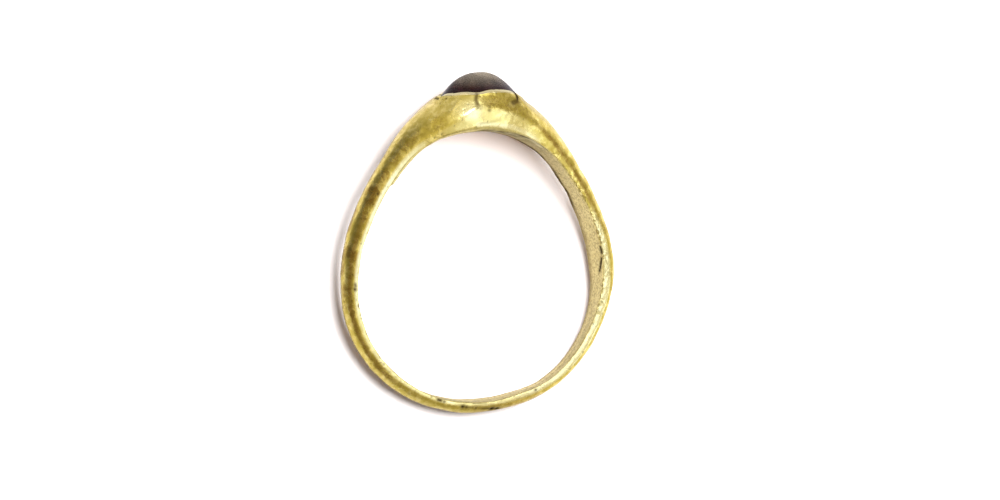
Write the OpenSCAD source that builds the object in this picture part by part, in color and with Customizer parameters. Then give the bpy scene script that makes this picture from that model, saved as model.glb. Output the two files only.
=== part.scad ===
// Stirrup ring: a hammered gold hoop that swells into an oval bezel, with a pointed cabochon
// rubbed over at its rim. Millimetres. The ring lies on its side, on its bezel and the foot of
// its hoop, with +Y towards the stone and the finger opening running up through it.

/* [Hoop] */
// Mean inside radius of the hoop
inside_r = 10.4; // [8.5:0.1:12]
// Mean thickness of the hoop, inside to outside
hoop_t = 1.1; // [0.9:0.05:1.5]
// Mean width of the hoop, along the finger
hoop_w = 2.2; // [1.8:0.1:3]

/* [Bezel] */
// Greatest width of the bezel, along the finger
bezel_w = 6.4; // [5.6:0.1:7]
// Height of the bezel's full dome over the inside of the hoop
bezel_t = 3.45; // [3:0.05:4]
// Lean of the bezel's outside, to the far face
bezel_lean = 7; // [0:0.5:9]
// Offset of the bezel to the far face
bezel_shift = 0.04; // [0:0.02:0.2]

/* [Rim and seat] */
// Length of the rim's opening, across the finger
rim_l = 6.2; // [5.4:0.1:6.6]
// Width of the rim's opening, along the finger
rim_w = 4.3; // [3.6:0.1:4.6]
// Width of the rubbed edge round the stone
rim_edge = 0.3; // [0.15:0.05:0.4]
// Depth of the seat below the rim's lowest end
seat_depth = 1.4; // [1.2:0.1:1.7]

/* [Stone] */
// Height of the stone's point over the middle of the hoop
stone_top = 14.8; // [14.2:0.1:15.4]
// Overhang of the rubbed edge over the stone
stone_lap = 0.22; // [0.1:0.02:0.3]
// Gap between the stone and its seat
seat_gap = 0.06; // [0.04:0.01:0.08]

/* [Hidden] */

// Angles run round the hoop from its right side, and stone_at is the middle of the bezel.
// Hammered sections round the hoop. Columns: angle, inside radius as a share of inside_r,
// thickness as a share of hoop_t, width as a share of hoop_w, lean in degrees, offset along
// the finger in millimetres
stone_at = 89.3;
SECTIONS = [
    [0, 0.94, 1.28, 1.1, 8, -0.15],
    [20, 0.905, 1.26, 1.1, 8, -0.15],
    [40, 0.915, 1.22, 1.1, 3, -0.05],
    [60, 0.97, 1.2, 0.9, 1, 0],
    [76, 0.995, 1.3, 0.9, 4, 0],
    [90, 1.0, 1.2, 1.0, 6, 0.04],
    [104, 1.005, 1.1, 1.6, 6, 0.08],
    [120, 1.005, 1.0, 1.1, 5, 0],
    [140, 0.965, 1.0, 1.1, 2, 0],
    [160, 0.965, 0.96, 1.12, -1, 0],
    [180, 1.0, 0.9, 1.0, -1, 0],
    [210, 1.053, 0.98, 0.9, 0, 0],
    [240, 1.05, 0.9, 0.88, 4, 0],
    [270, 1.024, 0.88, 0.91, 5, 0],
    [285, 1.02, 0.84, 0.95, 0, 0.04],
    [300, 1.03, 0.8, 1.0, -5, 0.08],
    [330, 0.995, 0.94, 1.02, -5, 0]
];

// How the hoop swells into the bezel. Columns: angle from the stone, share of the bezel's
// width, share of its height, place of the widest line as a share of the height
SWELL = [
    [0, 1, 1, 0.4],
    [14, 0.87, 0.73, 0.36],
    [30, 0.42, 0.34, 0.3],
    [45, 0.15, 0.12, 0.26],
    [65, 0.05, 0.03, 0.22],
    [90, 0, 0, 0.22],
    [180, 0, 0, 0.22]
];

// How far the rim stands up from the bezel's dome, by bearing round the rim from its right end
// towards the top face. Columns: bearing, rise in millimetres
COLLAR = [
    [0, 0],
    [20, 0.12],
    [40, 0.48],
    [60, 0.54],
    [85, 0.53],
    [100, 0.4],
    [120, 0.46],
    [140, 0.46],
    [165, 0.33],
    [190, 0.15],
    [225, 0],
    [300, 0]
];

// Dips in the rubbed edge, at its tears and folds. Columns: bearing, depth in millimetres,
// spread in degrees
DIPS = [
    [22, 0.12, 8],
    [101, 0.1, 9],
    [180, 0.14, 10],
    [207, 0.28, 8],
    [270, 0.08, 10]
];

// How the ring lies: its finger axis leans from the upright, away from the stone and sideways
rest_pitch = 5.57;
rest_roll = -0.11;

// Spacing of the mesh: stations round the hoop, spans over the outside of a section and over
// its inside, and the patch on the bezel's crown that the rim and the seat replace
station_step = 3;
stations = 360 / station_step;
crown_spans = 20;
crown_step = 180 / crown_spans;
palm_spans = 12;
palm_step = 180 / palm_spans;
patch_spans = 14;
patch_half = 18;
patch_crown = patch_spans / 2 * crown_step;
side_spans = (crown_spans - patch_spans) / 2;
gap_points = patch_spans - 1;
ring_points = crown_spans + palm_spans;
short_points = ring_points - gap_points;
full_stations = stations - 2 * patch_half / station_step + 1;

// Cubic curve through the rows of a table, by the table's first column
function moved(row, by) = [row[0] + by, each [for (c = [1 : len(row) - 1]) row[c]]];
function round_table(t) = let (n = len(t)) concat(
    [moved(t[n - 2], -360), moved(t[n - 1], -360)], t, [moved(t[0], 360), moved(t[1], 360)]);
function even_table(t) = let (n = len(t)) concat(
    [moved(t[1], -2 * t[1][0])], t, [moved(t[n - 1], 90)]);
function slope(t, i, c) = (t[i + 1][c] - t[i - 1][c]) / (t[i + 1][0] - t[i - 1][0]);
function curve_at(t, x, c) =
    let (i = max([for (k = [1 : len(t) - 3]) if (t[k][0] <= x) k]),
         span = t[i + 1][0] - t[i][0],
         s = (x - t[i][0]) / span)
    (2 * s ^ 3 - 3 * s ^ 2 + 1) * t[i][c] + (s ^ 3 - 2 * s ^ 2 + s) * span * slope(t, i, c)
    + (3 * s ^ 2 - 2 * s ^ 3) * t[i + 1][c] + (s ^ 3 - s ^ 2) * span * slope(t, i + 1, c);

hoop_curve = round_table(SECTIONS);
swell_curve = even_table(SWELL);
collar_curve = round_table(COLLAR);
function turn_of(angle) = angle - 360 * floor(angle / 360);
function apart(a, b) = let (d = abs(turn_of(a) - b)) min(d, 360 - d);
function mix(a, b, s) = a + (b - a) * s;

// The measures of one section, in the order of the names here
INSIDE = 0;
HIGH = 1;
HALF = 2;
LEAN = 3;
WIDEST = 4;
OUT_LEAN = 5;
OFFSET = 6;
function measures(angle) =
    let (a = turn_of(angle), d = apart(angle, stone_at), wide = curve_at(swell_curve, d, 1),
         high = mix(hoop_t * curve_at(hoop_curve, a, 2), bezel_t, curve_at(swell_curve, d, 2)),
         lean = curve_at(hoop_curve, a, 4))
    [inside_r * curve_at(hoop_curve, a, 1), high,
     mix(hoop_w * curve_at(hoop_curve, a, 3), bezel_w, wide) / 2, lean,
     high * curve_at(swell_curve, d, 3), mix(lean, -bezel_lean, wide),
     curve_at(hoop_curve, a, 5) - bezel_shift * wide];

// A point of the outside, at an angle round the hoop and a tilt across its crown
function crown(angle, tilt) =
    let (m = measures(angle),
         across = m[HALF] * sin(tilt),
         out = m[INSIDE] + mix(m[WIDEST], m[HIGH], cos(tilt)) + across * tan(m[OUT_LEAN]))
    [out * cos(angle), out * sin(angle), across + m[OFFSET]];

// A point of the inside, which is flatter, with worn round edges
palm_round = 0.55;
function palm(angle, tilt) =
    let (m = measures(angle),
         across = m[HALF] * sign(sin(tilt)) * abs(sin(tilt)) ^ palm_round,
         inward = abs(cos(tilt)) ^ palm_round,
         lean = mix(m[OUT_LEAN], m[LEAN], inward),
         out = m[INSIDE] + m[WIDEST] * (1 - inward) + across * tan(lean))
    [out * cos(angle), out * sin(angle), across + m[OFFSET]];

// One whole section, from the near edge of the bezel's patch, round the inside and back
function section(angle, points) = [for (j = [0 : points - 1])
    let (inner = j - side_spans, outer = inner - palm_spans)
    inner <= 0 ? crown(angle, 90 + inner * crown_step)
    : outer < 0 ? palm(angle, 90 + inner * palm_step)
    : crown(angle, -90 + outer * crown_step)];
function station_angle(s) = stone_at + patch_half + s * station_step;

// The rim's opening is an oval laid on the bezel's dome, out by grow millimetres
rim_r = inside_r + 0.8 * bezel_t;
rim_half_angle = asin(rim_l / 2 / rim_r);
degrees_per_mm = 180 / (PI * rim_r);
function rim_angle(bearing, grow) =
    stone_at - (rim_half_angle + grow * degrees_per_mm) * cos(bearing);
function rim_tilt(bearing, grow) =
    asin((rim_w / 2 + grow) * sin(bearing) / measures(rim_angle(bearing, grow))[HALF]);
function dip(bearing) =
    [for (d = DIPS) d[1] * exp(-(apart(bearing, d[0]) / d[2]) ^ 2)] * [for (d = DIPS) 1];
function collar(bearing) = curve_at(collar_curve, turn_of(bearing), 1);
function rim_point(bearing, grow, lift) =
    crown(rim_angle(bearing, grow), rim_tilt(bearing, grow)) + [0, collar(bearing) + lift, 0];
function outward(bearing) =
    let (n = [cos(bearing) / rim_l, 0, sin(bearing) / rim_w]) n / norm(n);

// Points of the seat and the stone, out from the rim's opening and down from it
function below_rim(bearing, out, deep) = rim_point(bearing, 0, -deep) + out * outward(bearing);
function at_level(bearing, out, level) =
    let (p = below_rim(bearing, out, 0)) [p[0], level, p[2]];
seat_floor = rim_point(0, 0, -seat_depth)[1];

// The bezel's patch: its edge in turn, as angle and tilt, then as places in the list of points
patch_low = stone_at - patch_half;
patch_high = stone_at + patch_half;
patch_stations = 2 * patch_half / station_step;
patch_sides = [
    for (k = [0 : patch_spans - 1]) [patch_low, -patch_crown + k * crown_step],
    for (k = [0 : patch_stations - 1]) [patch_low + k * station_step, patch_crown],
    for (k = [0 : patch_spans - 1]) [patch_high, patch_crown - k * crown_step],
    for (k = [0 : patch_stations - 1]) [patch_high - k * station_step, -patch_crown]
];
patch_len = len(patch_sides);
function place(s, j) = s < full_stations ? s * ring_points + j
    : full_stations * ring_points + (s - full_stations) * short_points + j;
last_full = full_stations - 1;
patch_places = [
    place(last_full, short_points - 1),
    for (k = [0 : gap_points - 1]) place(last_full, short_points + k),
    for (s = [last_full : stations - 1]) place(s, 0),
    place(0, 0),
    for (k = [gap_points - 1 : -1 : 0]) place(0, short_points + k),
    place(0, short_points - 1),
    for (s = [stations - 1 : -1 : full_stations]) place(s, short_points - 1)
];
bearings = [for (p = patch_sides) atan2(p[1] / patch_crown, (stone_at - p[0]) / patch_half)];

// Loops from the patch's edge over the dome to the rim, over its rubbed edge and down into the
// seat, which widens under the edge to hold the stone
edge_lift = 0.05;
edge_drop = 0.12;
lap_depth = 0.5;
function lap(deep) = stone_lap * (1 - (1 - min(deep / lap_depth, 1)) ^ 2);
function seat_point(bearing, deep) = below_rim(bearing, lap(deep), deep);
function edge_point(bearing, share, lift) =
    rim_point(bearing, share * rim_edge + lap(dip(bearing)), lift - dip(bearing));
function dome_loop(share) = [for (k = [0 : patch_len - 1])
    let (b = bearings[k])
    crown(mix(patch_sides[k][0], rim_angle(b, rim_edge), share),
          mix(patch_sides[k][1], rim_tilt(b, rim_edge), share)) + [0, collar(b) * share ^ 2, 0]];
seat_loops = [
    dome_loop(0.35),
    dome_loop(0.7),
    [for (b = bearings) edge_point(b, 1, dip(b) / 2)],
    [for (b = bearings) edge_point(b, 0.6, edge_lift)],
    [for (b = bearings) edge_point(b, 0.2, edge_lift)],
    [for (b = bearings) seat_point(b, dip(b))],
    [for (b = bearings) seat_point(b, dip(b) + edge_drop)],
    [for (b = bearings) seat_point(b, (dip(b) + edge_drop + lap_depth) / 2)],
    [for (b = bearings) seat_point(b, lap_depth)],
    [for (b = bearings) at_level(b, stone_lap, seat_floor)]
];

hoop_points = [
    for (s = [0 : stations - 1])
        each section(station_angle(s), s < full_stations ? ring_points : short_points),
    for (l = seat_loops) each l
];
first_seat = full_stations * ring_points + (stations - full_stations) * short_points;
function seat_place(l, k) = l < 0 ? patch_places[k % patch_len]
    : first_seat + l * patch_len + k % patch_len;
hoop_faces = [
    for (s = [0 : stations - 1]) let (n = (s + 1) % stations)
        for (j = [0 : s >= last_full ? short_points - 2 : ring_points - 1])
            let (i = (j + 1) % ring_points) [place(s, j), place(s, i), place(n, i), place(n, j)],
    for (l = [-1 : len(seat_loops) - 2])
        for (k = [0 : patch_len - 1])
            [seat_place(l, k), seat_place(l, k + 1), seat_place(l + 1, k + 1), seat_place(l + 1, k)],
    [for (k = [0 : patch_len - 1]) seat_place(len(seat_loops) - 1, k)]
];

// The stone: round along the hoop and nearly straight across it, from its point down to the
// rim, then a steeper shoulder under the rubbed edge and a flat base. Its sides face the seat's
stone_steps = 9;
long_bow = 1.85;
cross_bow = 1.12;
point_round = 0.12;
stone_point = stone_top * [cos(stone_at), sin(stone_at), 0];
function bow(bearing) = mix(long_bow, cross_bow, sin(bearing) ^ 2);
function eased(s) = sqrt(s ^ 2 + point_round ^ 2 * (1 - s)) - point_round * (1 - s);
function slope_at(bearing, share) =
    let (p = below_rim(bearing, -seat_gap, 0), down = eased(share) ^ bow(bearing))
    [mix(stone_point[0], p[0], share), mix(stone_point[1], p[1], down), share * p[2]];
stone_loops = [
    for (i = [1 : stone_steps]) [for (b = bearings) slope_at(b, i / stone_steps)],
    [for (b = bearings) below_rim(b, lap(lap_depth / 2) - seat_gap, lap_depth / 2)],
    [for (b = bearings) below_rim(b, lap(lap_depth) - seat_gap, lap_depth)],
    [for (b = bearings) at_level(b, stone_lap - seat_gap, seat_floor + seat_gap)]
];
stone_points = [stone_point, for (l = stone_loops) each l];
function stone_place(l, k) = 1 + l * patch_len + k % patch_len;
stone_faces = [
    for (k = [0 : patch_len - 1]) [0, stone_place(0, k), stone_place(0, k + 1)],
    for (l = [0 : len(stone_loops) - 2])
        for (k = [0 : patch_len - 1])
            [stone_place(l, k), stone_place(l + 1, k), stone_place(l + 1, k + 1), stone_place(l, k + 1)],
    [for (k = [patch_len - 1 : -1 : 0]) stone_place(len(stone_loops) - 1, k)]
];

// Lay the ring down, with the middle of its box over the origin
function pitched(p) = [p[0], p[1] * cos(rest_pitch) - p[2] * sin(rest_pitch),
                       p[1] * sin(rest_pitch) + p[2] * cos(rest_pitch)];
function rolled(p) = [p[0] * cos(rest_roll) + p[2] * sin(rest_roll), p[1],
                      p[2] * cos(rest_roll) - p[0] * sin(rest_roll)];
function laid(points) = [for (p = points) rolled(pitched(p))];
all_laid = laid(concat(hoop_points, stone_points));
low = [for (c = [0 : 2]) min([for (p = all_laid) p[c]])];
high = [for (c = [0 : 2]) max([for (p = all_laid) p[c]])];
middle = [(low[0] + high[0]) / 2, (low[1] + high[1]) / 2, low[2]];
function set_down(points) = [for (p = laid(points)) p - middle];

module hoop() {
    color("goldenrod") polyhedron(set_down(hoop_points), hoop_faces, convexity = 8);
}

module cabochon() {
    color("darkred") polyhedron(set_down(stone_points), stone_faces, convexity = 4);
}

hoop();
cabochon();
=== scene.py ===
import math
import random
import bpy
import numpy as np
from mathutils import Matrix, Vector, noise
from mathutils.kdtree import KDTree


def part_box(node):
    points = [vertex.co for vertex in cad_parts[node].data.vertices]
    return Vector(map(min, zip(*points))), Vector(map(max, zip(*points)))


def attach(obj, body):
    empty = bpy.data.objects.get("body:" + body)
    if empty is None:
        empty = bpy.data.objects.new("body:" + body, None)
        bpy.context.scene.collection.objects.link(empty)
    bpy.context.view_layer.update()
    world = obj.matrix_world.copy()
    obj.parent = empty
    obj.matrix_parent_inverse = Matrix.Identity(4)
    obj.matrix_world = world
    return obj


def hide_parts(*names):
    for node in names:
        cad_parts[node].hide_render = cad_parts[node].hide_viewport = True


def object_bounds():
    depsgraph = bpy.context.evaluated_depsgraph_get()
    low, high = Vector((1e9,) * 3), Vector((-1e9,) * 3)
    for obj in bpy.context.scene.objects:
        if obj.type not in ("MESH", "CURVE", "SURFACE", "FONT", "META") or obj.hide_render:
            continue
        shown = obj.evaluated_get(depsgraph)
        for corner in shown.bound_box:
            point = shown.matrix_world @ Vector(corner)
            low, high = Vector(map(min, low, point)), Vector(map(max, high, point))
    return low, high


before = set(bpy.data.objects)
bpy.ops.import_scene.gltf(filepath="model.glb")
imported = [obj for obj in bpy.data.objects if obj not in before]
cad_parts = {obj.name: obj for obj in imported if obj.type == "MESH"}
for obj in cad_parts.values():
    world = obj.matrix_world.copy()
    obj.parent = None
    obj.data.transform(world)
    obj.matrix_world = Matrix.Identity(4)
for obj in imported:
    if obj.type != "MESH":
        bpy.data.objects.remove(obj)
cad_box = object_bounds()

# Camera
# A long lens looks down on the ring from over its left side, so that the hoop shows its
# outside on the left and its worn inside on the right.
MM = 0.001
image_w, image_h = 1000, 500
pixels_per_metre = 12900
ring_pixel = (481.8, 242.0)
view_azimuth, view_elevation, view_roll = math.radians(-89.0), math.radians(67.8), math.radians(2.3)
view_distance = 1600 * MM

ring_middle = (cad_box[0] + cad_box[1]) / 2
back = Vector((math.sin(view_azimuth) * math.cos(view_elevation),
               -math.cos(view_azimuth) * math.cos(view_elevation),
               math.sin(view_elevation)))
up = (Vector((0, 1, 0)) - back * back.y).normalized()
up.rotate(Matrix.Rotation(-view_roll, 3, back))
right = up.cross(back)
aim = (ring_middle + right * (image_w / 2 - ring_pixel[0]) / pixels_per_metre
       - up * (image_h / 2 - ring_pixel[1]) / pixels_per_metre)
camera = bpy.data.objects.new("camera", bpy.data.cameras.new("camera"))
camera.data.lens = camera.data.sensor_width * view_distance * pixels_per_metre / image_w
camera_turn = Matrix((right, up, back)).transposed().to_4x4()
camera.matrix_world = Matrix.Translation(aim + back * view_distance) @ camera_turn
camera.data.clip_start, camera.data.clip_end = 10 * MM, 10
bpy.context.scene.collection.objects.link(camera)
bpy.context.scene.camera = camera

# Hoop and bezel
# One piece of gold, hammered out of a bar into a hoop with a flat inside and a round outside,
# which swells into a deep oval bezel. The bezel's thin rim is rubbed over the stone, and it has
# torn and cracked there. The ring lies on its side, on its bezel and the foot of its hoop.
inside_r, hoop_t, hoop_w = 10.4 * MM, 1.1 * MM, 2.2 * MM
bezel_w, bezel_t, bezel_lean, bezel_shift = 6.4 * MM, 3.45 * MM, 7, 0.04 * MM
rim_l, rim_w, rim_edge, seat_depth = 6.2 * MM, 4.3 * MM, 0.3 * MM, 1.4 * MM
stone_lap, lap_depth = 0.22 * MM, 0.5 * MM
stone_at = 89.3
# The inside's section is a squared oval, squarer still at the right shoulder, and it bends
# under the bezel there: places and spreads in degrees, depth, turn in degrees
palm_round = 0.34
shoulder_at, shoulder_spread, shoulder_square = 68, 28, 0.62
bend_at, bend_spread, bend_depth, bend_turn = 82, 22, 0.14 * MM, 2.8

# Hammered sections. Columns: angle round the hoop from its right side, inside radius,
# thickness and width as shares, lean in degrees, offset along the finger in millimetres
SECTIONS = np.array([
    [0, 0.94, 1.28, 1.1, 8, -0.15],
    [20, 0.905, 1.26, 1.1, 8, -0.15],
    [40, 0.915, 1.22, 1.1, 3, -0.05],
    [60, 0.97, 1.2, 0.9, 1, 0],
    [76, 0.995, 1.3, 0.9, 4, 0],
    [90, 1.0, 1.2, 1.0, 6, 0.04],
    [104, 1.005, 1.1, 1.6, 6, 0.08],
    [120, 1.005, 1.0, 1.1, 5, 0],
    [140, 0.965, 1.0, 1.1, 2, 0],
    [160, 0.965, 0.96, 1.12, -1, 0],
    [180, 1.0, 0.9, 1.0, -1, 0],
    [210, 1.053, 0.98, 0.9, 0, 0],
    [240, 1.05, 0.9, 0.88, 4, 0],
    [270, 1.024, 0.88, 0.91, 5, 0],
    [285, 1.02, 0.84, 0.95, 0, 0.04],
    [300, 1.03, 0.8, 1.0, -5, 0.08],
    [330, 0.995, 0.94, 1.02, -5, 0],
])
# How round the outside is: 1 is an oval and less is squarer. Columns: angle, roundness
ROUNDNESS = np.array([
    [0, 1.0], [25, 1.12], [55, 1.1], [75, 0.95], [90, 0.9], [105, 0.95], [130, 1.0], [180, 1.0],
    [220, 1.08], [250, 1.1], [272, 1.05], [292, 0.78], [320, 0.68], [345, 0.75],
])
# The swell into the bezel. Columns: angle from the stone, share of the bezel's width, share of
# its height, place of the widest line as a share of the height
SWELL = np.array([
    [0, 1, 1, 0.5],
    [14, 0.87, 0.73, 0.44],
    [30, 0.42, 0.34, 0.3],
    [45, 0.15, 0.12, 0.26],
    [65, 0.05, 0.03, 0.2],
    [90, 0, 0, 0.17],
    [180, 0, 0, 0.17],
])
# How far the rim stands up from the dome. Columns: bearing round the rim from its right end
# towards the top face, rise in millimetres
COLLAR = np.array([
    [0, 0.04], [30, 0.28], [60, 0.45], [90, 0.42], [112, 0.36], [135, 0.41], [160, 0.38],
    [185, 0.24], [215, 0], [250, -0.08], [310, -0.08],
])
# Dips in the rim, at its tears and folds. Columns: bearing, depth in millimetres, spread
DIPS = [[22, 0.12, 8], [108, 0.07, 12], [180, 0.14, 10], [207, 0.28, 8], [270, 0.08, 10]]


def cos_of(angle):
    return np.cos(np.radians(angle))


def sin_of(angle):
    return np.sin(np.radians(angle))


def mix(a, b, share):
    return a + (b - a) * share


def eased(value, low, high):
    """0 below low, 1 above high, and smooth between them."""
    s = np.clip((value - low) / (high - low), 0, 1)
    return s * s * (3 - 2 * s)


def hill(value, middle, width):
    """1 at a middle value, falling to 0 on both sides of it."""
    return np.exp(-((value - middle) / width) ** 2)


def apart(angle, other):
    turn = np.mod(angle - other, 360)
    return np.minimum(turn, 360 - turn)


def moved(rows, by):
    return np.column_stack([rows[:, 0] + by, rows[:, 1:]])


def round_table(rows):
    return np.vstack([moved(rows[-2:], -360), rows, moved(rows[:2], 360)])


def even_table(rows):
    return np.vstack([moved(rows[1:2], -2 * rows[1, 0]), rows, moved(rows[-1:], 90)])


def curve_at(rows, at):
    """The columns of a smooth curve through a table's rows, at places along its first column."""
    i = np.clip(np.searchsorted(rows[:, 0], at, side="right") - 1, 1, len(rows) - 3)
    slope = (rows[2:, 1:] - rows[:-2, 1:]) / (rows[2:, :1] - rows[:-2, :1])
    span = rows[i + 1, :1] - rows[i, :1]
    s = (np.asarray(at)[:, None] - rows[i, :1]) / span
    return ((2 * s ** 3 - 3 * s ** 2 + 1) * rows[i, 1:] + (s ** 3 - 2 * s ** 2 + s) * span * slope[i - 1]
            + (3 * s ** 2 - 2 * s ** 3) * rows[i + 1, 1:] + (s ** 3 - s ** 2) * span * slope[i])


def measures(angle):
    """Inside radius, height, half width, lean, widest place, outside lean and offset of a section."""
    inside, thick, wide, lean, offset = curve_at(round_table(SECTIONS), np.mod(angle, 360)).T
    swell_w, swell_t, widest = curve_at(even_table(SWELL), apart(angle, stone_at)).T
    high = mix(hoop_t * thick, bezel_t, swell_t)
    half = mix(hoop_w * wide, bezel_w, swell_w) / 2
    return (inside_r * inside, high, half, lean, high * widest,
            mix(lean, -bezel_lean, swell_w), offset * MM - bezel_shift * swell_w)


def on_circle(angle, out, across):
    return np.column_stack([out * cos_of(angle), out * sin_of(angle), across])


def roundness(angle):
    return curve_at(round_table(ROUNDNESS), np.mod(angle, 360))[:, 0]


def crown(angle, tilt):
    """Points of the outside, at angles round the hoop and tilts across it."""
    inside, high, half, _, widest, lean, offset = measures(angle)
    power = roundness(angle)
    across = half * np.sign(sin_of(tilt)) * np.abs(sin_of(tilt)) ** power
    out = inside + mix(widest, high, np.abs(cos_of(tilt)) ** power) + across * np.tan(np.radians(lean))
    return on_circle(angle, out, across + offset)


def palm(angle, tilt):
    """Points of the inside, which is flatter, with worn round edges."""
    inside, _, half, lean, widest, out_lean, offset = measures(angle)
    bend = hill(apart(angle, bend_at), 0, bend_spread)
    power = palm_round * (1 - shoulder_square * hill(apart(angle, shoulder_at), 0, shoulder_spread))
    across = half * np.sign(sin_of(tilt)) * np.abs(sin_of(tilt)) ** power
    inward = np.abs(cos_of(tilt)) ** power
    lean = mix(out_lean, lean - bend_turn * bend, inward)
    out = inside + widest * (1 - inward) - bend_depth * bend * inward + across * np.tan(np.radians(lean))
    return on_circle(angle, out, across + offset)


rim_height_share = 0.8
rim_r = inside_r + rim_height_share * bezel_t
rim_half_angle = math.degrees(math.asin(rim_l / 2 / rim_r))


def rim_place(bearing, grow):
    """Angle and tilt of the rim's oval, grown by a distance."""
    angle = stone_at - (rim_half_angle + np.degrees(grow / rim_r)) * cos_of(bearing)
    share = (rim_w / 2 + grow) * sin_of(bearing) / measures(angle)[2]
    return angle, np.degrees(np.arcsin(np.sign(share) * np.abs(share) ** (1 / roundness(angle))))


def dip(bearing):
    return sum(depth * MM * hill(apart(bearing, at), 0, spread) for at, depth, spread in DIPS)


def collar(bearing):
    return curve_at(round_table(COLLAR), np.mod(bearing, 360))[:, 0] * MM


def raised(points, height):
    return points + np.column_stack([0 * height, height, 0 * height])


def rim_point(bearing, grow, lift):
    return raised(crown(*rim_place(bearing, grow)), collar(bearing) + lift)


def below_rim(bearing, out, deep):
    """Points out from the rim's opening and down from it."""
    across = np.column_stack([cos_of(bearing) / rim_l, 0 * bearing, sin_of(bearing) / rim_w])
    across /= np.linalg.norm(across, axis=1, keepdims=True)
    return rim_point(bearing, 0 * bearing, -deep) + across * np.reshape(out, (-1, 1))


def lap(deep):
    return stone_lap * (1 - (1 - np.minimum(deep / lap_depth, 1)) ** 2)


# The mesh: stations round the hoop and lines along it. A patch on the bezel's crown is left
# open, and loops with twice as many points close it, over the rim and down into the seat
station_step, crown_step, palm_step = 0.5, 3, 5
patch_half, patch_tilt = 18, 63
stations = round(360 / station_step)
patch_stations = round(2 * patch_half / station_step)
patch_lines = round(2 * patch_tilt / crown_step)
full_stations = stations - patch_stations + 1
side = (180 // crown_step - patch_lines) // 2
palm_lines = 180 // palm_step
dome_steps, lip_steps, lap_steps = 30, 9, 7

# The inside's lines are spread evenly, past its sharp corners
fine = np.linspace(0, 180, 3601)
run = np.cumsum(np.hypot(np.gradient(np.sign(cos_of(fine)) * np.abs(cos_of(fine)) ** palm_round),
                         np.gradient(np.abs(sin_of(fine)) ** palm_round)))
palm_tilt = 90 + np.interp(np.linspace(run[0], run[-1], palm_lines + 1)[1:-1], run, fine)
line_tilt = np.concatenate([
    patch_tilt + crown_step * np.arange(side + 1), palm_tilt,
    -90 + crown_step * np.arange(180 // crown_step - side)])
line_inside = np.zeros(len(line_tilt), bool)
line_inside[side + 1:side + palm_lines] = True
closed_lines = side + palm_lines + side + 1

grid_s, grid_l = np.meshgrid(np.arange(stations), np.arange(len(line_tilt)), indexing="ij")
kept = (grid_s < full_stations) | (grid_l < closed_lines)
place = np.where(kept, np.cumsum(kept).reshape(kept.shape) - 1, -1)
grid_angle = stone_at + patch_half + grid_s[kept] * station_step
grid_tilt = line_tilt[grid_l[kept]]
grid_inside = line_inside[grid_l[kept]]
points = np.where(grid_inside[:, None], palm(grid_angle, grid_tilt), crown(grid_angle, grid_tilt))

faces = []
for s in range(stations):
    n = (s + 1) % stations
    open_here = s >= full_stations - 1
    for j in range(closed_lines - 1 if open_here else len(line_tilt)):
        i = (j + 1) % len(line_tilt)
        faces.append([place[s, j], place[n, j], place[n, i], place[s, i]])

last = full_stations - 1
edge_angle = np.concatenate([
    np.full(patch_lines, stone_at - patch_half),
    stone_at - patch_half + station_step * np.arange(patch_stations),
    np.full(patch_lines, stone_at + patch_half),
    stone_at + patch_half - station_step * np.arange(patch_stations)])
edge_tilt = np.concatenate([
    -patch_tilt + crown_step * np.arange(patch_lines), np.full(patch_stations, patch_tilt),
    patch_tilt - crown_step * np.arange(patch_lines), np.full(patch_stations, -patch_tilt)])
edge_places = ([place[last, closed_lines - 1], *place[last, closed_lines:]]
               + [place[s, 0] for s in range(last, stations)] + [place[0, 0]]
               + [*place[0, :closed_lines - 1:-1], place[0, closed_lines - 1]]
               + [place[s, closed_lines - 1] for s in range(stations - 1, last, -1)])


def halved(values):
    """A closed line's values, with the middle of each step put in."""
    return np.column_stack([values, (values + np.roll(values, -1)) / 2]).ravel()


loop_angle, loop_tilt = halved(edge_angle), halved(edge_tilt)
bearing = np.degrees(np.arctan2(loop_tilt / patch_tilt, (stone_at - loop_angle) / patch_half)) % 360
loop_len = len(bearing)


def ragged(bearing, size, seed):
    """Uneven values of about -1 to 1 round the rim, which join up."""
    return np.array([noise.noise(Vector((math.cos(b) / size, math.sin(b) / size, seed)))
                     for b in np.radians(bearing)]) * 2


# The lip is torn most near its left end, and a little all round
torn_at, torn_spread, torn_least = 205, 38, 0.15
tear_depth, tear_lift = 0.13 * MM, 0.03 * MM
torn = mix(torn_least, 1, hill(apart(bearing, torn_at), 0, torn_spread))
tear = np.maximum(ragged(bearing, 0.13, 3.1) + 0.5 * ragged(bearing, 0.05, 8.4), 0) * tear_depth * torn
lip_out = np.maximum(lap(dip(bearing)), tear)
lip_lift = ragged(bearing, 0.22, 5.7) * tear_lift * torn - dip(bearing)
lip_high = 0.05 * MM
side_rise, end_rise = 1.5, 2.2


def dome_loop(share):
    """Points and angles of a loop from the patch's edge, at 0, to the foot of the lip, at 1."""
    angle, tilt = rim_place(bearing, rim_edge + lip_out * share ** 6)
    angle, tilt = mix(loop_angle, angle, share), mix(loop_tilt, tilt, share)
    rise = collar(bearing) * share ** mix(side_rise, end_rise, cos_of(bearing) ** 2)
    return raised(crown(angle, tilt), rise), angle


def lip_loop(turn):
    """The rubbed edge's round lip, from its foot on the dome, at 0 degrees, to the stone, at 180."""
    grow = rim_edge * (1 + cos_of(turn)) / 2 + lip_out
    lift = lip_high * sin_of(turn) + lip_lift * eased(turn, 0, 60)
    return rim_point(bearing, grow, lift), rim_place(bearing, grow)[0]


def seat_loop(deep):
    """A loop down the seat's wall, which widens under the rim."""
    out = np.maximum(lap(deep), lip_out)
    return below_rim(bearing, out, np.maximum(deep, -lip_lift)), rim_angle


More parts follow.
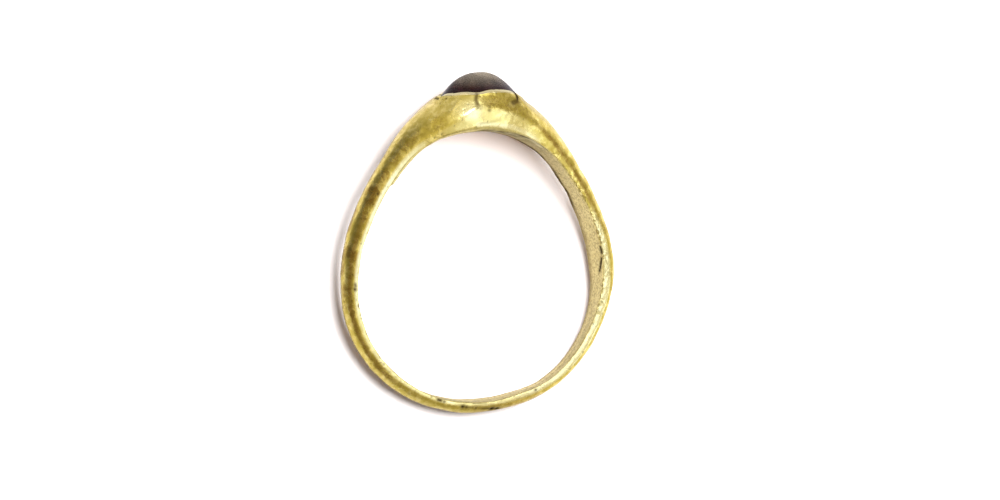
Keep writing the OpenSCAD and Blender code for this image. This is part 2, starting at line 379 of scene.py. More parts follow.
rim_angle = rim_place(bearing, 0 * bearing)[0]
seat_floor = rim_point(np.zeros(1), 0, -seat_depth)[0, 1]
floor_points = below_rim(bearing, stone_lap, 0)
floor_points[:, 1] = seat_floor
loops = [dome_loop(share) for share in np.linspace(0, 1, dome_steps + 1)[1:-1]]
loops += [lip_loop(turn) for turn in np.linspace(0, 180, lip_steps + 1)]
for share in np.linspace(0, 1, lap_steps + 1)[1:]:
    loops.append(seat_loop(mix(dip(bearing), lap_depth, share)))
loops.append((floor_points, rim_angle))
first = len(points)
points = np.vstack([points, *[loop[0] for loop in loops]])
point_angle = np.concatenate([grid_angle, *[loop[1] for loop in loops]])
point_inside = np.concatenate([grid_inside, np.zeros(loop_len * len(loops), bool)])
point_loop = np.concatenate([np.full(first, -1), np.repeat(np.arange(len(loops)), loop_len)])
for k, at in enumerate(edge_places):
    a, b, c = (first + (2 * k + step) % loop_len for step in range(3))
    after = edge_places[(k + 1) % len(edge_places)]
    faces += [[at, a, b], [at, b, after], [after, b, c]]
for row in range(len(loops) - 1):
    start = first + row * loop_len
    for k in range(loop_len):
        n = (k + 1) % loop_len
        faces.append([start + k, start + loop_len + k, start + loop_len + n, start + n])
faces.append([first + (len(loops) - 1) * loop_len + k for k in reversed(range(loop_len))])


def make_mesh(name, points, faces):
    mesh = bpy.data.meshes.new(name)
    mesh.from_pydata(points.tolist(), [], [[int(i) for i in face] for face in faces])
    mesh.shade_smooth()
    mesh.update()
    piece = bpy.data.objects.new(name, mesh)
    bpy.context.scene.collection.objects.link(piece)
    return piece


def point_normals(piece):
    values = np.zeros(len(piece.data.vertices) * 3, np.float32)
    piece.data.vertex_normals.foreach_get("vector", values)
    return values.reshape(-1, 3)


def move_points(piece, points):
    piece.data.vertices.foreach_set("co", points.astype(np.float32).ravel())
    piece.data.update()


def set_values(piece, name, values):
    """Keeps a number, or a direction, at each point for the material."""
    kind, field = ("FLOAT", "value") if values.ndim == 1 else ("FLOAT_VECTOR", "vector")
    attribute = piece.data.attributes.new(name, kind, "POINT")
    attribute.data.foreach_set(field, values.astype(np.float32).ravel())


seed_step, rough_gain = (7.3, 3.1, 5.7), 1.6


def rough(points, size, seed):
    """Smooth uneven values of about -1 to 1 at points, with lumps of a size."""
    away = Vector([seed * step for step in seed_step])
    return np.array([noise.noise(Vector(point) / size + away) for point in points]) * rough_gain


def from_spot(points, spot):
    """Distances of points from a place given in millimetres."""
    return np.linalg.norm(points - np.array(spot) * MM, axis=1)


def from_line(points, line):
    """Distances of points from a line through places given in millimetres."""
    line = np.array(line) * MM
    nearest = np.full(len(points), np.inf)
    for a, b in zip(line[:-1], line[1:]):
        share = np.clip((points - a) @ (b - a) / max((b - a) @ (b - a), 1e-12), 0, 1)
        nearest = np.minimum(nearest, np.linalg.norm(points - a - share[:, None] * (b - a), axis=1))
    return nearest


hoop = make_mesh("hammered_hoop", points, faces)
normals = point_normals(hoop)
radial = np.hypot(points[:, 0], points[:, 1])
inward = -np.sum(normals * points * [1, 1, 0], axis=1) / radial
facing_up = np.abs(normals[:, 2])
on_upper_side = points[:, 2] > 0
on_sweep = point_loop < 0
on_lip = (point_loop >= dome_steps - 1) & (point_loop < dome_steps + lip_steps)
in_seat = point_loop >= dome_steps + lip_steps


def near_angle(middle, reach, fade):
    """1 near an angle round the hoop, fading to 0 at a reach on each side of it."""
    return eased(reach - apart(point_angle, middle), 0, fade)


# Hammer facets of three sizes, flatter on the bezel. Columns: size and height in
# millimetres, seed
FACETS = [[2.6, 0.032, 1], [1.3, 0.026, 2], [0.5, 0.009, 3]]
bezel_reach, bezel_fade, bezel_flatter = 30, 12, 0.35
bezel_share = near_angle(stone_at, bezel_reach, bezel_fade)
high = sum(rough(points, size * MM, seed) * height * MM for size, height, seed in FACETS)
high *= 1 - bezel_flatter * bezel_share

# The inside edge, crumbled on the right and only a little uneven elsewhere
crumb_high, edge_high, crumb_top = 0.12 * MM, 0.008 * MM, 0.5
crumb_size, small_crumb_size, small_crumbs = 0.28 * MM, 0.13 * MM, 0.6
crumbled = near_angle(18, 60, 30)
edge_share = np.where(point_inside, hill(inward, 0.55, 0.3), 0)
crumbs = rough(points, crumb_size, 4) + small_crumbs * rough(points, small_crumb_size, 5)
edge_crumbs = mix(edge_high * edge_share, crumb_high * hill(inward, 0.4, 0.4), crumbled)
high += np.minimum(crumbs, crumb_top) * edge_crumbs * (on_sweep & on_upper_side)

# The step in the inside edge on the left
step_start, step_full, step_end = 112, 130, 141.5
step_high, step_low_edge, end_fade = 0.13 * MM, 0.5 * MM, 2
stepped = eased(point_angle, step_start, step_full) * eased(step_end - point_angle, 0, end_fade)
stepped *= points[:, 2] > step_low_edge
high += step_high * stepped * np.where(point_inside, eased(inward, 0.1, 0.5), 0)

# Swellings left by hammering, in millimetres: spread, height and place
BLOWS = [
    [1.6, 0.14, (-1.6, 12.0, 3.0)], [0.9, 0.04, (0.9, 10.9, 2.9)],
]
for spread, height, spot in BLOWS:
    high += height * MM * hill(from_spot(points, spot), 0, spread * MM)

# Cracks and creases in millimetres: width, depth, how dark, and the line
CRACKS = [
    [0.11, 0.1, 0.86, [(-1.05, 13.35, 2.25), (-1.2, 13.15, 2.5), (-1.3, 12.95, 2.7),
                       (-1.25, 12.65, 2.95)]],
    [0.14, 0.05, 0.5, [(-1.25, 12.65, 2.95), (-1.1, 12.4, 3.1)]],
    [0.14, 0.09, 1, [(2.0, 13.4, 1.6), (2.3, 13.35, 1.75), (2.45, 13.05, 1.9), (2.35, 12.75, 2.15)]],
    [0.22, 0.04, 0.94, [(2.25, 12.65, 2.25), (1.85, 12.6, 2.6)]],
    [0.14, 0.04, 0.45, [(1.9, 12.55, 2.55), (1.5, 12.5, 2.8)]],
    [0.07, 0.08, 0.8, [(-3.4, 12.9, -0.7), (-3.45, 12.9, 0.2)]],
    [0.07, 0.03, 0.9, [(-2.85, 13.3, 0.2), (-3.02, 13.15, -0.19), (-3.2, 13.0, -0.45),
                       (-3.36, 12.9, -0.6)]],
    [0.06, 0.09, 1, [(-1.9, 13.3, -1.7), (-2.0, 13.0, -2.2), (-2.5, 12.45, -2.65)]],
    [0.22, 0.1, 0.3, [(2.9, 12.7, -2.1), (1.6, 13.1, -2.4), (0.2, 13.3, -2.5)]],
    [0.06, 0.03, 0.25, [(1.2, 11.75, 3.2), (0.7, 11.45, 3.3), (-0.1, 11.2, 3.3), (-1.4, 11.05, 3.3)]],
    [0.07, 0.06, 1, [(4.1, -9.8, 0.75), (4.25, -9.95, 1.1)]],
    [0.09, 0.07, 1, [(-10.8, -1.2, 1.1), (-10.75, -1.35, 1.1)]],
    [0.1, 0.06, 0.8, [(-0.4, -11.3, 1.0), (0.4, -11.3, 0.9), (0.75, -11.4, 0.75), (1.25, -11.4, 0.7)]],
    [0.08, 0.04, 0.7, [(-1.8, -11.1, 1.0), (-1.5, -11.15, 1.0), (-0.9, -11.2, 1.0)]],
    [0.06, 0.04, 0.8, [(-0.9, -10.8, 1.05), (0.1, -10.85, 1.1)]],
    [0.09, 0.08, 1, [(9.8, 0.95, 0.9), (9.9, 0.5, 0.9)]],
    [0.09, 0.08, 1, [(9.95, 0.05, 0.8), (9.9, -0.55, 0.65), (9.9, -0.9, 0.5)]],
]
# Pits in millimetres: width, depth and place
PITS = [
    [0.1, 0.08, (-9, 5.8, 1.3)], [0.12, 0.09, (-10.8, -1.6, 1.05)], [0.08, 0.06, (-10.4, -2.9, 1)],
    [0.13, 0.08, (-3.8, -10.45, 1)], [0.12, 0.07, (-3.65, -10.5, 1)], [0.1, 0.05, (-3.35, -10.6, 1.05)],
    [0.16, 0.1, (-1.8, -11.1, 1.0)], [0.12, 0.07, (-1.5, -11.15, 1.0)], [0.12, 0.06, (-0.7, -11.25, 1.0)],
    [0.22, 0.12, (0.75, -11.4, 0.75)], [0.19, 0.1, (1.2, -11.4, 0.7)], [0.09, 0.06, (7.1, -8.4, 1)],
    [0.06, 0.05, (-3.15, 12.95, 1.1)], [0.08, 0.05, (-0.3, 12.4, 3.15)], [0.09, 0.05, (-0.35, 12.15, 3.25)],
    [0.07, 0.04, (0.1, 12.55, 3.05)], [0.06, 0.04, (-0.9, 13.15, 2.5)], [0.08, 0.05, (0.55, 11.45, 3.3)],
]
# Dirt fills part of each mark, and darkens it to a little past its width
crack_open, crack_dark_flat = 0.45, 0.5
pit_open, pit_dark_flat = 0.8, 0.4
dark_spread = 1.1
dirt_and_shade = np.zeros(len(points))
hammered = points + normals * high[:, None]
for width, depth, dark, line in CRACKS:
    away = from_line(hammered, line) / (width * MM)
    high -= crack_open * depth * MM * hill(away, 0, 1)
    dirt_and_shade = np.maximum(dirt_and_shade, dark * hill(np.maximum(away - crack_dark_flat, 0), 0, dark_spread))
for width, depth, spot in PITS:
    away = from_spot(hammered, spot) / (width * MM)
    high -= pit_open * depth * MM * hill(away, 0, 1)
    dirt_and_shade = np.maximum(dirt_and_shade, hill(np.maximum(away - pit_dark_flat, 0), 0, dark_spread))

# Small pits at random, thickest on the inside and with none on the lip or in the seat. Widths
# are in millimetres, and the depth is a share of the width
small_pits, small_pit_widths, small_pit_depth, small_pit_dark = 420, (0.03, 0.075), 0.35, 0.6
outside_skipped, pit_reach = 0.6, 2.5
chance = random.Random(12)
near_points = KDTree(len(points))
for i, point in enumerate(points):
    near_points.insert(point, i)
near_points.balance()
for i in range(small_pits):
    at = chance.randrange(len(points))
    width = chance.uniform(*small_pit_widths) * MM
    if in_seat[at] or on_lip[at] or (not point_inside[at] and chance.random() < outside_skipped):
        continue
    for _, j, distance in near_points.find_range(points[at], pit_reach * width):
        share = math.exp(-(distance / width) ** 2)
        high[j] -= small_pit_depth * width * share
        dirt_and_shade[j] = max(dirt_and_shade[j], small_pit_dark * share)

# Dirt along the inside's upper edge, and painted contact shade with some dirt along its lower edge
# by the floor, thickest at the right shoulder and, on the upper edge, on the left as well
lower_thin, lower_thick, upper_thin, less_where_crumbled = 0.225, 0.855, 0.4, 0.85
edge_dark_level, edge_dark_change, edge_dark_size = 0.85, 0.4, 0.6 * MM
_, _, half, _, _, _, offset = measures(point_angle)
lower_edge_shade = eased((offset - points[:, 2]) / half, 0.45, 0.65)
lower_edge_shade *= mix(lower_thin, lower_thick, near_angle(62, 45, 15))
upper_edge = hill(inward, 0.9, 0.14) * on_upper_side * (1 - less_where_crumbled * crumbled)
upper_edge *= mix(upper_thin, 1, np.maximum(near_angle(170, 35, 12), near_angle(68, 32, 8)))
grime_and_shade = np.where(point_inside, np.maximum(lower_edge_shade, upper_edge), 0)
grime_and_shade *= np.clip(edge_dark_level + edge_dark_change * rough(points, edge_dark_size, 7), 0, 1)
dirt_and_shade = np.maximum(dirt_and_shade, grime_and_shade)
# The lip is smoother than the rest, and the seat has no relief
lip_relief = 0.5
high = np.where(in_seat, 0, np.where(on_lip, high * lip_relief, high))

# Turned to where it lies, on its bezel and the foot of its hoop
rest_roll, rest_pitch = math.radians(-0.11), math.radians(5.57)
rest_turn = Matrix.Rotation(rest_roll, 3, "Y") @ Matrix.Rotation(rest_pitch, 3, "X")


def laid(points):
    return points @ np.array(rest_turn).T


smooth = laid(points)
hoop_low, hoop_high = (np.array(corner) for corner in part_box("hoop"))
shift = (hoop_low + hoop_high) / 2 - (smooth.min(axis=0) + smooth.max(axis=0)) / 2
shift[2] = hoop_low[2] - smooth[:, 2].min()
worn = laid(points + normals * high[:, None]) + shift
# No point sinks into the floor, and the highest swelling is worn down
swell_top, swell_worn = hoop_high[2] + 0.08 * MM, 0.6
worn[:, 2] = np.maximum(worn[:, 2], 0)
worn[:, 2] -= swell_worn * np.maximum(worn[:, 2] - swell_top, 0)
move_points(hoop, worn)

palm_share = np.where(on_sweep, eased(inward, 0.82, 0.97), 0)
pale_lip_steps, seat_dirt = 5, 0.8
# These dark values also carry the painted contact shade along the inside's lower edge
set_values(hoop, "dirt_and_shade", np.clip(dirt_and_shade + np.where(in_seat, seat_dirt, 0), 0, 1))
set_values(hoop, "palm", palm_share)
# The inside is painted darker towards its lower side, by the floor, as painted shade
set_values(hoop, "palm_shade", palm_share * eased(-points[:, 2], 0.2 * MM, 1.3 * MM))
# The lip's outer half is painted paler still, as its highlight, on top of its rubbing
set_values(hoop, "lip", np.where(on_lip & (point_loop < dome_steps + pale_lip_steps), 1.0, 0))

# Paler gold where the sides face up and down and at the inside edge, which are rubbed and are also
# painted paler where highlights fall, and painted highlights along the bezel's edge by the opening,
# on a spot on the bezel, and on the rubbed lip. The sides are rubbed less in some places.
# Columns: angle, reach and fade in degrees, how much less
LESS_RUBBED = [[48, 35, 15, 0.95], [272, 22, 12, 0.5], [225, 35, 15, 0.4]]
# A painted highlight along the bezel's edge by the opening and on along the right shoulder's inside edge
BRIGHT_EDGE = [(-1.3, 11.05, 3.15), (0.1, 10.95, 3.15), (1.5, 10.75, 3.1), (2.6, 10.3, 2.9),
               (3.5, 9.7, 2.5), (4.4, 9.1, 1.7)]
bright_edge_width, bright_spot_width = 0.32 * MM, 1.1 * MM
# A painted highlight on the bezel
bright_spot = (-1.85, 12.1, 3.1)
bezel_less_rubbed, edge_rubbed = 0.6, 0.8
rubbed = eased(facing_up, 0.9, 0.985) * (1 - bezel_less_rubbed * bezel_share)
for middle, reach, fade, less in LESS_RUBBED:
    rubbed *= 1 - less * near_angle(middle, reach, fade)
rubbed = np.maximum(rubbed, hill(from_line(points, BRIGHT_EDGE), 0, bright_edge_width))
rubbed = np.maximum(rubbed, hill(from_spot(points, bright_spot), 0, bright_spot_width))
rubbed = np.maximum(rubbed, edge_rubbed * edge_share)
set_values(hoop, "rubbed", np.clip(rubbed + on_lip, 0, 1))

# A painted dark reflection band on the right shoulder's crown, a browner band at the foot and brown stain
# patches on the left
foot_darkened, left_stained, inside_darkened = 0.5, 0.9, 0.3
shoulder_dark_reflection = near_angle(44, 30, 14) * eased(-inward, -0.02, 0.14) * eased(0.52 + inward, 0, 0.16)
foot_darkening = foot_darkened * near_angle(280, 20, 10) * (facing_up > 0.3)
left_stain = left_stained * near_angle(165, 45, 25) * eased(rough(points, 1.1 * MM, 6), -0.1, 0.5)
stain_and_dark_reflection = np.maximum(np.maximum(shoulder_dark_reflection, foot_darkening), left_stain)
set_values(hoop, "stain_and_dark_reflection", np.where(point_inside, inside_darkened * stain_and_dark_reflection, stain_and_dark_reflection))

# Places round the hoop and across its section, for wear that runs round it
section_in = radial - measures(point_angle)[0]
set_values(hoop, "around", np.column_stack([points[:, :2], 0 * radial]))
set_values(hoop, "section", np.column_stack([section_in, points[:, 2], 0 * radial]))


# The gold's finish
def put(tree, value, socket):
    if isinstance(value, bpy.types.NodeSocket):
        tree.links.new(value, socket)
    else:
        socket.default_value = value


def node(tree, kind, inputs=None, **settings):
    """A shader node with its settings, and its inputs set or linked by name or number."""
    made = tree.nodes.new("ShaderNode" + kind)
    for name, value in settings.items():
        setattr(made, name, value)
    for name, value in (inputs or {}).items():
        put(tree, value, made.inputs[name])
    return made


def calc(tree, operation, *values, clamp=False):
    return node(tree, "Math", dict(enumerate(values)), operation=operation, use_clamp=clamp).outputs[0]


def blended(tree, share, a, b):
    return node(tree, "Mix", {0: share, 6: a, 7: b}, data_type="RGBA").outputs[2]


def turned_to(tree, colour, other, mask, amount):
    """A colour, turned towards another by an amount where a mask is."""
    return blended(tree, calc(tree, "MULTIPLY", mask, amount), colour, other)


def changed(tree, value, mask, amount, clamp=False):
    """A value, changed by an amount where a mask is."""
    return calc(tree, "MULTIPLY_ADD", mask, amount, value, clamp=clamp)


def between(tree, value, low, high, to_low=0, to_high=1):
    """Takes a value's range from low to high onto another, smoothly."""
    inputs = {"Value": value, "From Min": low, "From Max": high, "To Min": to_low, "To Max": to_high}
    return node(tree, "MapRange", inputs, interpolation_type="SMOOTHSTEP").outputs[0]


def kept_value(tree, name, output="Fac"):
    return node(tree, "Attribute", attribute_name=name).outputs[output]


def effect(name, inputs, outputs):
    """An empty node group with named inputs and outputs."""
    group = bpy.data.node_groups.new(name, "ShaderNodeTree")
    for label, kind in inputs.items():
        group.interface.new_socket(label, in_out="INPUT", socket_type="NodeSocket" + kind)
    for label, kind in outputs.items():
        group.interface.new_socket(label, in_out="OUTPUT", socket_type="NodeSocket" + kind)
    return group, group.nodes.new("NodeGroupInput").outputs, group.nodes.new("NodeGroupOutput").inputs


def place_effect(tree, group, **inputs):
    made = tree.nodes.new("ShaderNodeGroup")
    made.node_tree = group
    for name, value in inputs.items():
        put(tree, value, made.inputs[name])
    return made.outputs


def empty_material(name):
    """A new material and its node tree, with no nodes."""
    material = bpy.data.materials.new(name)
    material.use_nodes = True
    material.node_tree.nodes.clear()
    return material, material.node_tree


# Cloudy patches at a size in millimetres
patches, given, out = effect(
    "cloudy_patches", {"Vector": "Vector", "Size": "Float", "Low": "Float", "High": "Float"},
    {"Mask": "Float"})
patch_scale = calc(patches, "DIVIDE", 1000, given["Size"])
grain = node(patches, "TexNoise", {
    "Vector": given["Vector"], "Scale": patch_scale, "Detail": 2.0, "Roughness": 0.55})
put(patches, between(patches, grain.outputs["Fac"], given["Low"], given["High"]), out["Mask"])

# Fine scratches that run every way over a surface, long one way and thin the other two
scratches, given, out = effect(
    "fine_scratches", {"Vector": "Vector", "Spacing": "Float", "Sharpness": "Float"},
    {"Mask": "Float"})
scratch_turns = [(20, 35, 10), (75, -20, 60), (-40, 60, 120), (10, 80, -35)]
along_scale, across_scale, full_scratch = 450, 12000, 0.85
total = 0
for turn in scratch_turns:
    turned = node(scratches, "Mapping", {
        "Vector": given["Vector"], "Rotation": [math.radians(a) for a in turn],
        "Scale": (along_scale, across_scale, across_scale)})
    per_spacing = calc(scratches, "DIVIDE", 1, given["Spacing"])
    spaced = node(scratches, "VectorMath", {0: turned.outputs[0], "Scale": per_spacing},
                  operation="SCALE")
    lines = node(scratches, "TexNoise", {"Vector": spaced.outputs[0], "Scale": 1.0, "Detail": 1.0})
    line = between(scratches, lines.outputs["Fac"], given["Sharpness"], full_scratch)
    total = calc(scratches, "MAXIMUM", total, line)
put(scratches, total, out["Mask"])

gold, tree = empty_material("worn_gold")
surface = node(tree, "TexCoord").outputs["Object"]
dirt_and_shade_share, palm_at, palm_painted_shade, lip_highlight_at, rubbed_at, stain_and_reflection_at = (
    kept_value(tree, name) for name in ("dirt_and_shade", "palm", "palm_shade", "lip", "rubbed", "stain_and_dark_reflection"))

clouds = place_effect(tree, patches, Vector=surface, Size=1.1, Low=0.4, High=0.62)["Mask"]
mottling = place_effect(tree, patches, Vector=surface, Size=0.45, Low=0.41, High=0.58)["Mask"]
flecks = place_effect(tree, patches, Vector=surface, Size=0.17, Low=0.42, High=0.64)["Mask"]
tarnish = place_effect(tree, patches, Vector=surface, Size=2.4, Low=0.5, High=0.66)["Mask"]
scratched = place_effect(tree, scratches, Vector=surface, Spacing=1.0, Sharpness=0.62)["Mask"]

clear_gold, olive_gold, brown_gold = (1.0, 0.79, 0.23, 1), (0.65, 0.49, 0.07, 1), (0.48, 0.31, 0.06, 1)
pale_gold, lip_highlight_gold = (1.0, 0.9, 0.5, 1), (1.0, 0.86, 0.46, 1)
palm_gold, palm_brown = (0.8, 0.67, 0.29, 1), (0.4, 0.28, 0.1, 1)
dull_gold, dirt_and_shade_brown = (0.7, 0.37, 0.1, 1), (0.012, 0.006, 0.002, 1)
tarnished_flecks = calc(tree, "MULTIPLY", flecks, tarnish)
colour = turned_to(tree, clear_gold, olive_gold, clouds, amount=0.6)
colour = turned_to(tree, colour, olive_gold, mottling, amount=0.7)
colour = turned_to(tree, colour, brown_gold, tarnished_flecks, amount=0.6)
# Brown stains, and the painted dark reflection on the right shoulder's crown
colour = turned_to(tree, colour, brown_gold, stain_and_reflection_at, amount=between(tree, mottling, 0, 1, 0.6, 1))
palm_colour = turned_to(tree, palm_gold, palm_brown, flecks, amount=0.7)
# Painted shade on the inside's lower side
palm_colour = turned_to(tree, palm_colour, palm_brown, palm_painted_shade, amount=0.6)
colour = blended(tree, palm_at, colour, palm_colour)
# Rubbed wear, and painted highlights, pale the gold
colour = turned_to(tree, colour, pale_gold, rubbed_at, amount=0.7)
# The lip's painted highlight
colour = blended(tree, lip_highlight_at, colour, lip_highlight_gold)
# Dirt darkens the gold, and so does the painted contact shade along the inside's lower edge
colour = blended(tree, dirt_and_shade_share, colour, dirt_and_shade_brown)
# Light that the gold throws on the floor is dulled
colour = blended(tree, node(tree, "LightPath").outputs["Is Diffuse Ray"], colour, dull_gold)

# Wear that runs round the inside of the hoop: noise drawn out along the hoop
streak_scale, across_stretch = 900.0, 20
around = node(tree, "SeparateXYZ", {0: kept_value(tree, "around", "Vector")}).outputs
section = node(tree, "SeparateXYZ", {0: kept_value(tree, "section", "Vector")}).outputs
run = node(tree, "CombineXYZ", {
    0: calc(tree, "MULTIPLY_ADD", section[0], across_stretch, around[0]), 1: around[1],
    2: calc(tree, "MULTIPLY", section[1], across_stretch)})
streaks = node(tree, "TexNoise", {
    "Vector": run.outputs[0], "Scale": streak_scale, "Detail": 3.0}).outputs["Fac"]

smooth_gold, rough_gold = 0.24, 0.31
roughness = between(tree, clouds, 0, 1, smooth_gold, rough_gold)
roughness = changed(tree, roughness, palm_at, amount=0.25)
roughness = changed(tree, roughness, dirt_and_shade_share, amount=0.3)
roughness = changed(tree, roughness, scratched, amount=-0.05)
roughness = changed(tree, roughness, rubbed_at, amount=-0.05, clamp=True)
streaks_inside, streaks_outside = 1.6, 0.25
streak_share = calc(tree, "MULTIPLY_ADD", palm_at, streaks_inside, streaks_outside)
relief = calc(tree, "MULTIPLY", scratched, -0.4)
relief = changed(tree, relief, flecks, amount=-0.2)
relief = changed(tree, relief, mottling, amount=-1.3)
relief = changed(tree, relief, streaks, amount=streak_share)
relief_depth = 0.005 * MM
bump = node(tree, "Bump", {"Height": relief, "Distance": relief_depth, "Strength": 1.0})
metal_share = calc(tree, "SUBTRACT", 1, calc(tree, "POWER", dirt_and_shade_share, 3), clamp=True)
shader = node(tree, "BsdfPrincipled", {
    "Base Color": colour, "Roughness": roughness, "Metallic": metal_share,
    "Specular IOR Level": 0.0, "Normal": bump.outputs[0]})
node(tree, "OutputMaterial", {"Surface": shader.outputs[0]})
hoop.data.materials.append(gold)
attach(hoop, "root")
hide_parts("hoop")

# Cabochon
# A dark red garnet, ground to an oval with a soft ridge and a point, and set with no foil. Its
# base widens under the rim, which holds it.
stone_top, seat_gap = 14.86 * MM, 0.06 * MM
left_bow, right_bow, cross_bow, point_round = 2.2, 1.85, 1.12, 0.12
stone_steps, stone_lap_steps = 48, 6
stone_point = stone_top * np.array([cos_of(stone_at), sin_of(stone_at), 0])
girdle = below_rim(bearing, -seat_gap, 0 * bearing)
bow = mix(mix(left_bow, right_bow, (1 + cos_of(bearing)) / 2), cross_bow, sin_of(bearing) ** 2)
stone_loops = []
for share in np.linspace(0, 1, stone_steps + 1)[1:]:
    rounded = math.sqrt(share ** 2 + point_round ** 2 * (1 - share)) - point_round * (1 - share)
    down = rounded ** bow
    stone_loops.append(np.column_stack([
        mix(stone_point[0], girdle[:, 0], share), mix(stone_point[1], girdle[:, 1], down),
        share * girdle[:, 2]]))
for deep in np.linspace(0, 1, stone_lap_steps + 1)[1:] * lap_depth:
    stone_loops.append(below_rim(bearing, lap(deep) - seat_gap, deep + 0 * bearing))
base = below_rim(bearing, stone_lap - seat_gap, 0)
base[:, 1] = seat_floor + seat_gap
stone_loops.append(base)
stone_points = np.vstack([stone_point, *stone_loops])
stone_faces = [[0, 1 + (k + 1) % loop_len, 1 + k] for k in range(loop_len)]
for row in range(len(stone_loops) - 1):
    start = 1 + row * loop_len
    for k in range(loop_len):
        n = (k + 1) % loop_len
        stone_faces.append([start + k, start + n, start + loop_len + n, start + loop_len + k])
stone_faces.append([1 + (len(stone_loops) - 1) * loop_len + k for k in range(loop_len)])
cabochon = make_mesh("garnet_cabochon", stone_points, stone_faces)

# The dome is ground a little unevenly, but not next to the rim, where it has to fit
uneven_size, uneven_high, even_steps = 1.1 * MM, 0.012 * MM, 4
stone_high = rough(stone_points, uneven_size, 21) * uneven_high
on_dome = np.arange(len(stone_points)) <= (stone_steps - even_steps) * loop_len
ground = point_normals(cabochon) * np.where(on_dome, stone_high, 0)[:, None]
move_points(cabochon, laid(stone_points + ground) + shift)

# Height up the stone, for its grey haze and painted sheen
haze_and_sheen_low = 13.4 * MM
height_share = (stone_points[:, 1] - haze_and_sheen_low) / (stone_top - haze_and_sheen_low)
set_values(cabochon, "height", np.clip(height_share, 0, 1))

garnet, tree = empty_material("worn_garnet")
surface = node(tree, "TexCoord").outputs["Object"]
clouds = place_effect(tree, patches, Vector=surface, Size=1.2, Low=0.4, High=0.62)["Mask"]
scratched = place_effect(tree, scratches, Vector=surface, Spacing=0.8, Sharpness=0.6)["Mask"]
light_red, deep_red = (0.026, 0.0035, 0.0045, 1), (0.01, 0.0014, 0.002, 1)
inside_red, haze_and_sheen_grey = (0.006, 0.001, 0.0012, 1), (0.72, 0.63, 0.46, 1)
haze_and_sheen_start, haze_and_sheen_power = 0.18, 1.5
colour = blended(tree, clouds, light_red, deep_red)
# Worn grey towards its point, which also paints the pale sheen of reflected light there, and darkest where
# a ray leaves it from the inside
haze_and_sheen = calc(tree, "SUBTRACT", kept_value(tree, "height"), haze_and_sheen_start, clamp=True)
haze_and_sheen = calc(tree, "POWER", haze_and_sheen, haze_and_sheen_power)
haze_and_sheen = calc(tree, "MULTIPLY", haze_and_sheen, between(tree, clouds, 0, 1, 1.0, 0.66))
colour = blended(tree, haze_and_sheen, colour, haze_and_sheen_grey)
colour = blended(tree, node(tree, "NewGeometry").outputs["Backfacing"], colour, inside_red)
roughness = changed(tree, between(tree, clouds, 0, 1, 0.14, 0.26), scratched, amount=0.25)
scratch_depth = -0.002 * MM
bump = node(tree, "Bump", {"Height": scratched, "Distance": scratch_depth, "Strength": 1.0})
shader = node(tree, "BsdfPrincipled", {
    "Base Color": colour, "Roughness": roughness, "IOR": 1.76, "Transmission Weight": 0.7,
    "Specular IOR Level": 0.06, "Specular Tint": (0.3, 0.2, 0.18, 1),
    "Normal": bump.outputs[0]})
node(tree, "OutputMaterial", {"Surface": shader.outputs[0]})
cabochon.data.materials.append(garnet)
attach(cabochon, "root")
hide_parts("cabochon")

# Floor and light
# A plain white floor under one broad soft light, from high above the stone's right side, in a
# photographer's tent that is paler overhead.


def aimed(azimuth, elevation):
    """A direction, from its turn from the right-hand side and its height in degrees."""
    flat = math.cos(math.radians(elevation))
    return Vector((flat * math.cos(math.radians(azimuth)), flat * math.sin(math.radians(azimuth)),
                   math.sin(math.radians(elevation))))


fade_start, fade_end = 0.3, 1.5


def place_share(tree, direction, azimuth, elevation, spread):
    """1 near a direction, fading to 0 as the angle from it goes past a spread in degrees."""
    near = node(tree, "VectorMath", {0: direction, 1: aimed(azimuth, elevation)}, operation="DOT_PRODUCT")
    return between(tree, near.outputs["Value"], math.cos(math.radians(fade_end * spread)),
                   math.cos(math.radians(fade_start * spread)))


floor_half = 600 * MM
floor_corners = np.array([[-1, -1, 0], [1, -1, 0], [1, 1, 0], [-1, 1, 0]]) * floor_half
floor = make_mesh("floor", floor_corners, [[0, 1, 2, 3]])
paper = bpy.data.materials.new("white_floor")
paper.use_nodes = True
tree = paper.node_tree
paper_shader = tree.nodes["Principled BSDF"]
floor_at = node(tree, "TexCoord").outputs["Object"]
fibres = place_effect(tree, patches, Vector=floor_at, Size=4.0, Low=0.3, High=0.7)["Mask"]
white = blended(tree, fibres, (0.9, 0.9, 0.9, 1), (0.92, 0.92, 0.92, 1))
# How bright the floor looks in the gold, near the ring's middle and far from it, and how much
# each side changes the far part. Columns: turn and spread in degrees, change
floor_near, floor_far = 0.48, 0.33
near_end, far_start = 11.5 * MM, 17 * MM
FLOOR_SIDES = [[0, 60, 0.45], [212, 26, 0.15], [158, 38, -0.82], [75, 28, -0.3], [270, 22, -0.15]]
mirror_tint = (1, 1.04, 1.13, 1)
away = node(tree, "VectorMath", {0: floor_at}, operation="LENGTH").outputs["Value"]
side_on = node(tree, "VectorMath", {0: floor_at}, operation="NORMALIZE").outputs["Vector"]
far = between(tree, away, near_end, far_start)
mirrored = between(tree, away, near_end, far_start, floor_near, floor_far)
for azimuth, spread, change in FLOOR_SIDES:
    share = calc(tree, "MULTIPLY", far, place_share(tree, side_on, azimuth, 0, spread))
    mirrored = calc(tree, "MULTIPLY", mirrored, calc(tree, "MULTIPLY_ADD", share, change, 1))
mirrored_floor = blended(tree, mirrored, (0, 0, 0, 1), mirror_tint)
rays = node(tree, "LightPath").outputs
put(tree, blended(tree, rays["Is Glossy Ray"], white, mirrored_floor), paper_shader.inputs["Base Color"])
paper_shader.inputs["Roughness"].default_value = 0.9
floor.data.materials.append(paper)

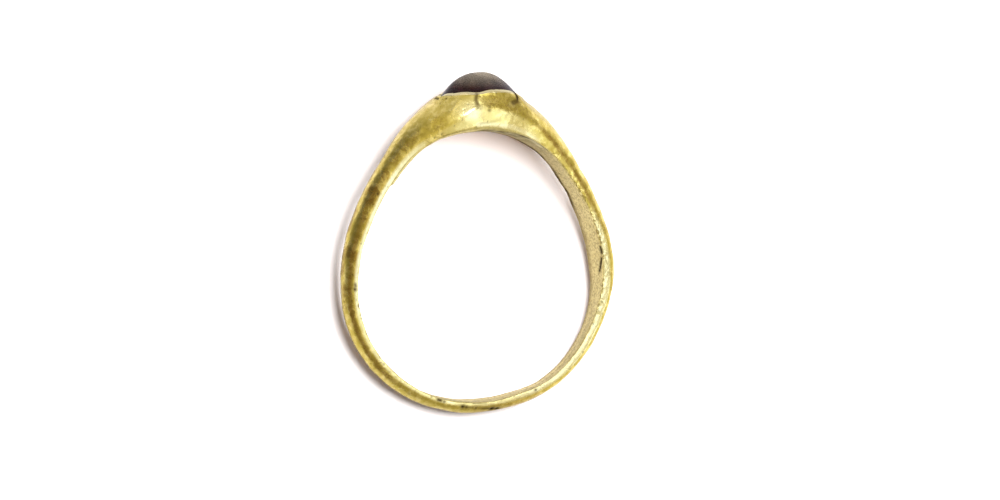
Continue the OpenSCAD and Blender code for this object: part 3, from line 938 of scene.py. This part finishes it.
key_distance, key_side, key_power = 160 * MM, 150 * MM, 0.74
toward_key = aimed(56, 72.5)
key = bpy.data.objects.new("key_light", bpy.data.lights.new("key_light", "AREA"))
key.data.shape = "DISK"
key.data.size = key_side
key.data.energy = key_power
key.data.color = (1.0, 0.95, 0.94)
key.visible_camera = False
key.visible_glossy = False
key.location = ring_middle + toward_key * key_distance
key.rotation_euler = toward_key.to_track_quat("Z", "Y").to_euler()
bpy.context.scene.collection.objects.link(key)

# How bright the tent looks in the gold, low down and overhead, where a direction's upward
# part is large, and its brighter and darker places. Columns: turn, height and spread in
# degrees, change
sky_level, sky_top, overhead_start, overhead_full = 0.54, 0.66, 0.65, 0.94
BRIGHT_PLACES = [
    [332, 12, 28, 0.35], [110, 30, 26, 0.4], [92, 49, 11, 4.0], [15, 72, 18, 0.4], [341, 26, 12, 0.45],
]
DARK_PLACES = [
    [165, 8, 32, 0.52], [218, 10, 34, 0.55], [265, 28, 22, 0.2], [20, 18, 32, 0.1], [165, 72, 30, 0.25],
]
dark_tint, light_tint, bright_tint = (1.0, 0.68, 0.42, 1), (1.0, 0.95, 0.8, 1), (1.0, 1.1, 1.35, 1)
# What the tent adds to the floor's light, and the white that the camera sees behind the floor
floor_share, floor_tint = 0.5, (1.0, 1.0, 1.02, 1)
backdrop_white, backdrop_level = (1, 1, 1, 1), 1.3
sky = bpy.data.worlds.new("light_tent")
bpy.context.scene.world = sky
sky.use_nodes = True
tree = sky.node_tree
tree.nodes.clear()
direction = node(tree, "TexCoord").outputs["Generated"]
height = node(tree, "SeparateXYZ", {0: direction}).outputs[2]
overhead = between(tree, height, overhead_start, overhead_full)
level = calc(tree, "MULTIPLY_ADD", overhead, sky_top, sky_level)
for azimuth, elevation, spread, change in BRIGHT_PLACES:
    bright = place_share(tree, direction, azimuth, elevation, spread)
    level = calc(tree, "MULTIPLY_ADD", bright, change, level)
shade = 1.0
for azimuth, elevation, spread, change in DARK_PLACES:
    dark = place_share(tree, direction, azimuth, elevation, spread)
    shade = calc(tree, "MULTIPLY", shade, calc(tree, "MULTIPLY_ADD", dark, -change, 1))
level = calc(tree, "MULTIPLY", level, shade)
dark_level, light_level, bright_start, bright_level = 0.1, 0.45, 0.75, 1.2
tint = blended(tree, between(tree, level, dark_level, light_level), dark_tint, light_tint)
tint = blended(tree, between(tree, level, bright_start, bright_level), tint, bright_tint)
rays = node(tree, "LightPath").outputs
tint = blended(tree, rays["Is Diffuse Ray"], tint, floor_tint)
level_share = calc(tree, "MULTIPLY_ADD", rays["Is Diffuse Ray"], floor_share - 1, 1)
level = calc(tree, "MULTIPLY", level, level_share)
backdrop = node(tree, "Background", {"Color": backdrop_white, "Strength": backdrop_level})
tent = node(tree, "Background", {"Color": tint, "Strength": level})
mixed = node(tree, "MixShader", {0: rays["Is Camera Ray"], 1: tent.outputs[0], 2: backdrop.outputs[0]})
node(tree, "OutputWorld", {"Surface": mixed.outputs[0]})
bpy.context.scene.view_settings.view_transform = "Standard"
